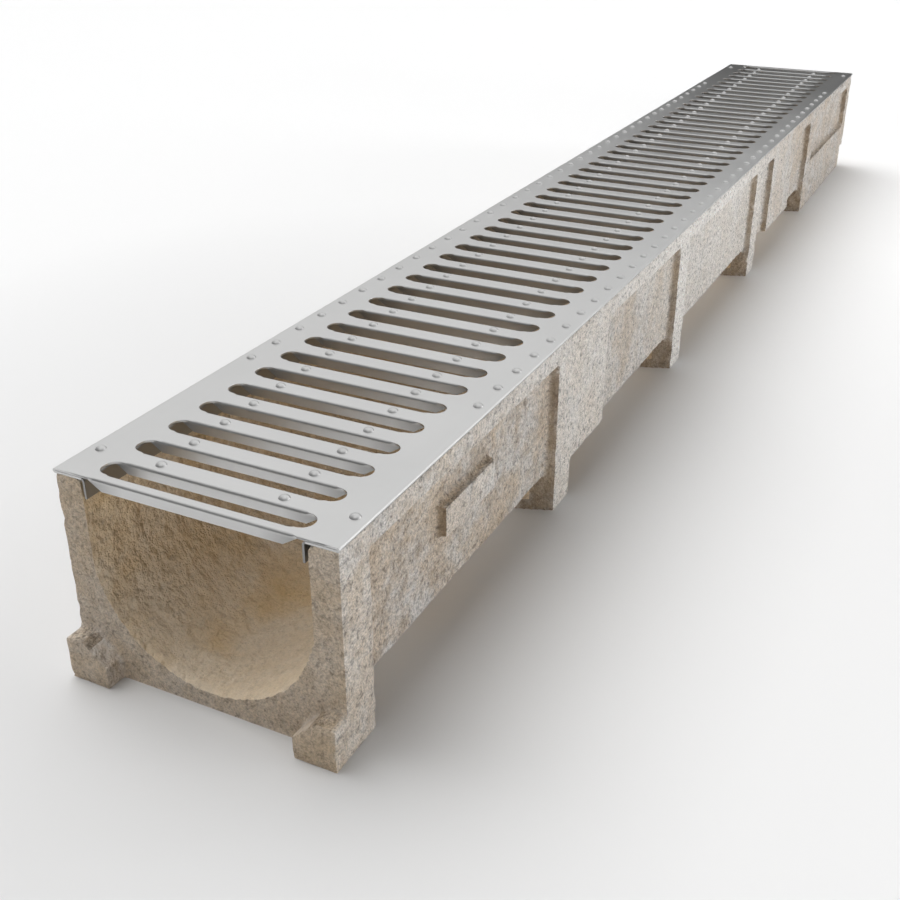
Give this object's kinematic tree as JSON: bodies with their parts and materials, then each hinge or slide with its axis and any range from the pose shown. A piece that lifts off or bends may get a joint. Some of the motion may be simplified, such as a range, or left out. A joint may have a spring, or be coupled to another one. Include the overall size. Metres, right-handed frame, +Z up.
{
  "type": "channel drain",
  "caption": "Metre-long polymer concrete drainage channel with a slotted grating of folded stainless sheet lying on its rim.",
  "frame": {"origin": "middle of the channel's underside", "axes": "+X along the channel from the end with the feet to the end with the sockets, +Y across it, +Z up"},
  "size_m": [1.0094, 0.126, 0.0932],
  "materials": {
    "polymer_concrete": "matte",
    "stainless_sheet": "satin"
  },
  "bodies": {
    "root": {"channel_body": "polymer_concrete", "slotted_grating": "stainless_sheet"}
  },
  "joints": []
}
